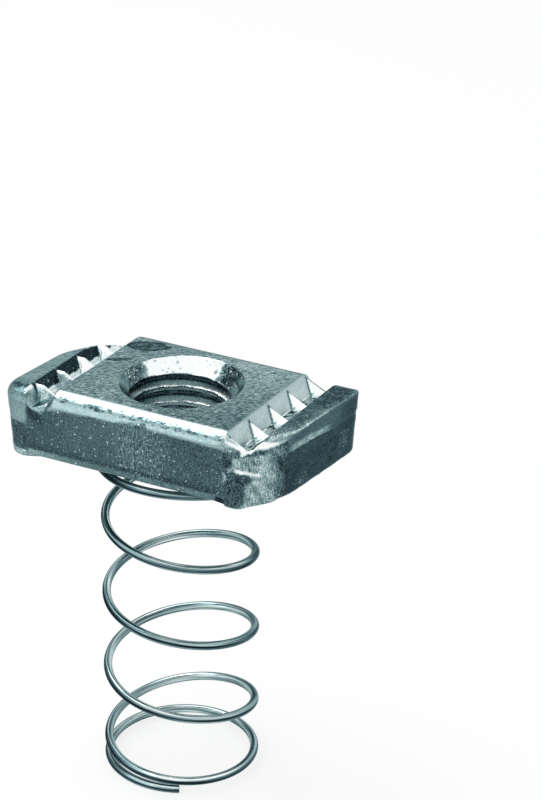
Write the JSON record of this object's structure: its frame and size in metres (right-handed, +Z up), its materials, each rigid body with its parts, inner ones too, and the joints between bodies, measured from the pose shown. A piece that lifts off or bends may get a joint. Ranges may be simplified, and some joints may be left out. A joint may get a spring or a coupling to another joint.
{
  "type": "strut spring nut",
  "caption": "Zinc-plated steel nut block with two toothed grooves and a tapped hole, standing on the light left-hand coil spring that is staked into its underside.",
  "frame": {"origin": "on the table under the middle of the nut, at the spring's foot", "axes": "+Z up the spring and along the tapped hole, out of the nut's top; X along the nut; Y across it"},
  "size_m": [0.0359, 0.0206, 0.0486],
  "materials": {
    "nut": "bright zinc plated, pressed",
    "spring": "bright zinc plated wire"
  },
  "bodies": {
    "spring": {"spring": "spring"},
    "nut": {"nut": "nut"}
  },
  "joints": [
    {"name": "spring_squeeze", "type": "slide", "parent": "spring", "child": "nut", "axis": [0, 0, 1], "range_m": [-0.025, 0], "stiffness_N_per_m": 450, "springref_m": 0.001, "deforming": ["spring"]}
  ]
}
